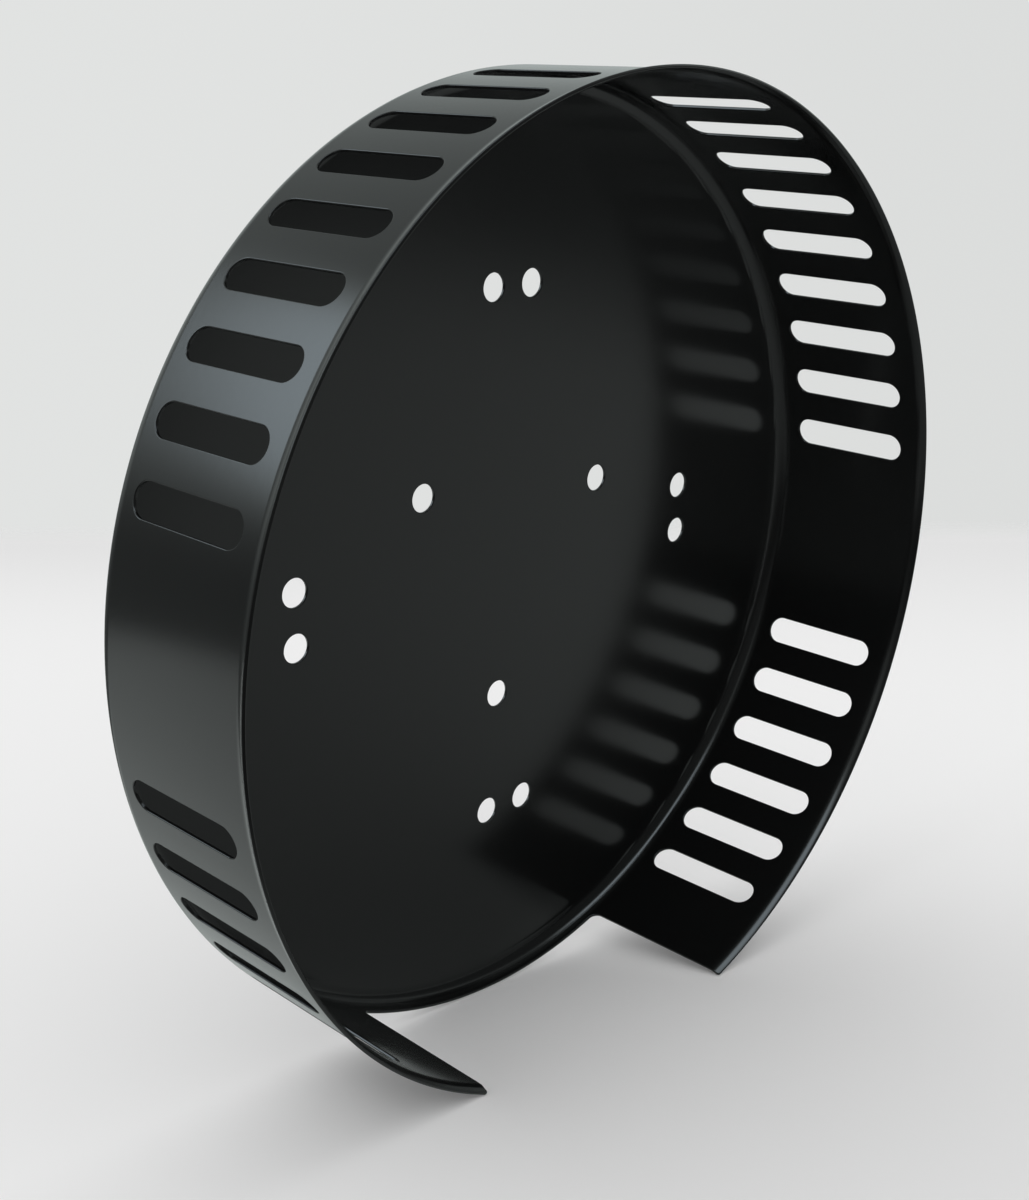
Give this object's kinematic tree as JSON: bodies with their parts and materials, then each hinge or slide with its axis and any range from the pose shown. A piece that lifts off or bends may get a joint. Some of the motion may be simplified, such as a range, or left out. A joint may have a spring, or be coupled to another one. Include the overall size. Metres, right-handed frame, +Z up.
{
  "type": "motor cover",
  "caption": "Shallow round sheet-steel cover for a motor: a flat bolt-on disc, a wall with rows of long vent slots, a slightly flared rim and a wide cut-away at the bottom.",
  "frame": {"origin": "centre of the disc, on its outer face, which bolts to the motor", "axes": "+Y out of the disc's outer face, along the axis of the drum, which opens towards -Y; +Z up, away from the cut-away in the wall; +X to the right, seen from the open side"},
  "size_m": [0.2942, 0.061, 0.2931],
  "materials": {
    "powder_coat": "satin black powder coat with fine orange peel"
  },
  "bodies": {
    "root": {"motor_cover": "powder_coat"}
  },
  "joints": []
}
